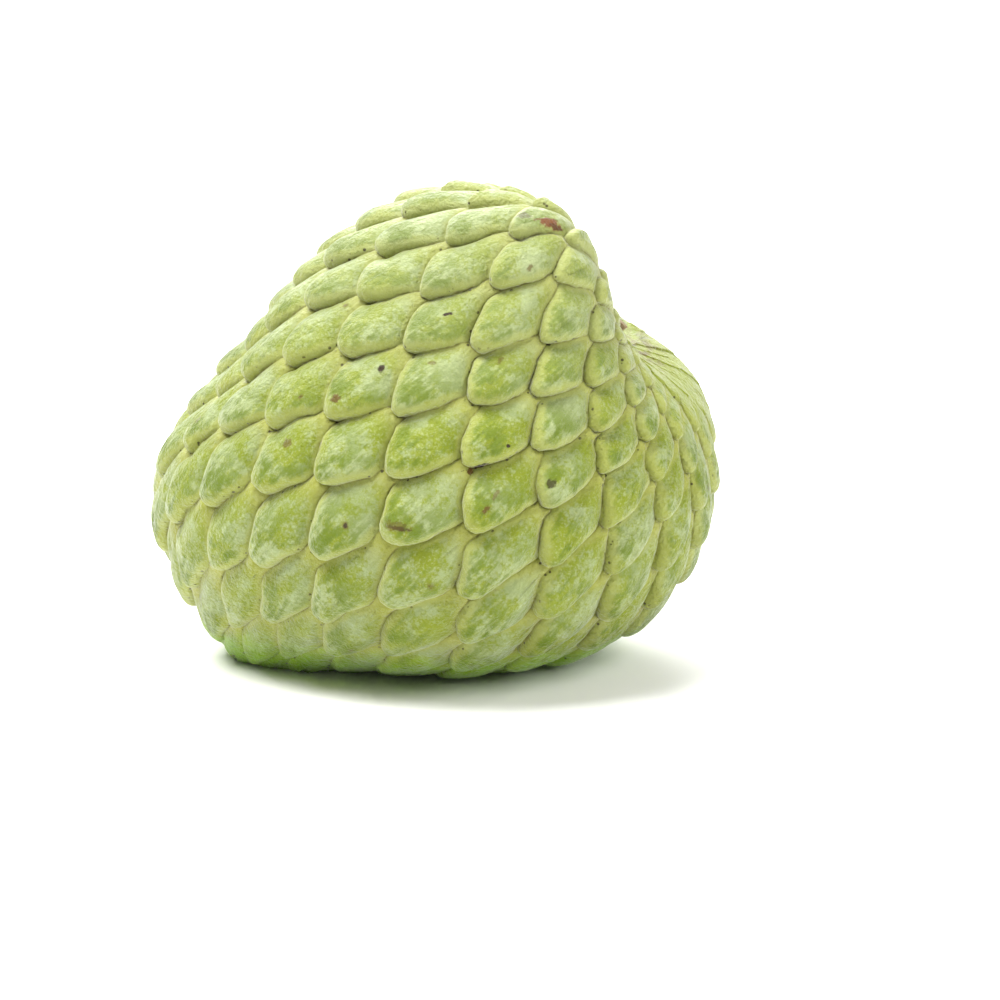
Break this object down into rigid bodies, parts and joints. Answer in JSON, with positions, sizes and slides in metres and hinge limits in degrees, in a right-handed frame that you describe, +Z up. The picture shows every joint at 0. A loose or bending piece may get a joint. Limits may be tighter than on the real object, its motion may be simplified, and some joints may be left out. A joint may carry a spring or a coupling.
{
  "type": "custard apple",
  "caption": "Whole lopsided heart-shaped fruit lying on its side, covered by overlapping cushion-like scales, with a short woody stub in its stem hollow.",
  "frame": {"origin": "middle of the bounding box on the plane that the fruit rests on", "axes": "+X along the longest horizontal extent, towards the lobe beside the stem hollow; +Z up; -Y towards the viewer of the front face"},
  "size_m": [0.1303, 0.1101, 0.1099],
  "materials": {
    "skin": "matt waxy yellow-green skin with a pale bloom and fine velvety grain",
    "stub_wood": "dry brown stalk, cut across"
  },
  "bodies": {
    "root": {"fruit": "skin", "stalk_stub": "stub_wood"}
  },
  "joints": []
}
